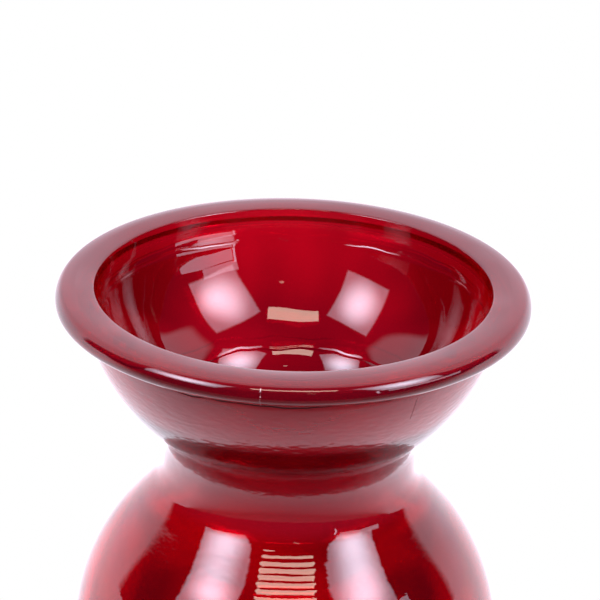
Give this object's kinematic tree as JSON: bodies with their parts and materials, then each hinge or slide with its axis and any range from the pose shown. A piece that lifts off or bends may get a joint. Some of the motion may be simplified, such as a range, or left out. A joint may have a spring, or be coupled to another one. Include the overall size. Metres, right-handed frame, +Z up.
{
  "type": "vase",
  "caption": "Hourglass vase of ruby glass: an open bowl with a flat beaded rim over a hollow globe, joined by a short open waist.",
  "frame": {"origin": "centre of the foot, on the surface that the vase stands on", "axes": "+Z up along the vase's axis of revolution, from the foot to the open mouth; +X and +Y are interchangeable"},
  "size_m": [0.1292, 0.1292, 0.1587],
  "materials": {
    "clear_glass": "clear pressed and blown glass, smooth inside",
    "ruby_glass": "transparent ruby glass, fire-polished, with faint ripples from the mould"
  },
  "bodies": {
    "root": {"glass_body": "clear_glass", "ruby_layer": "ruby_glass"}
  },
  "joints": []
}
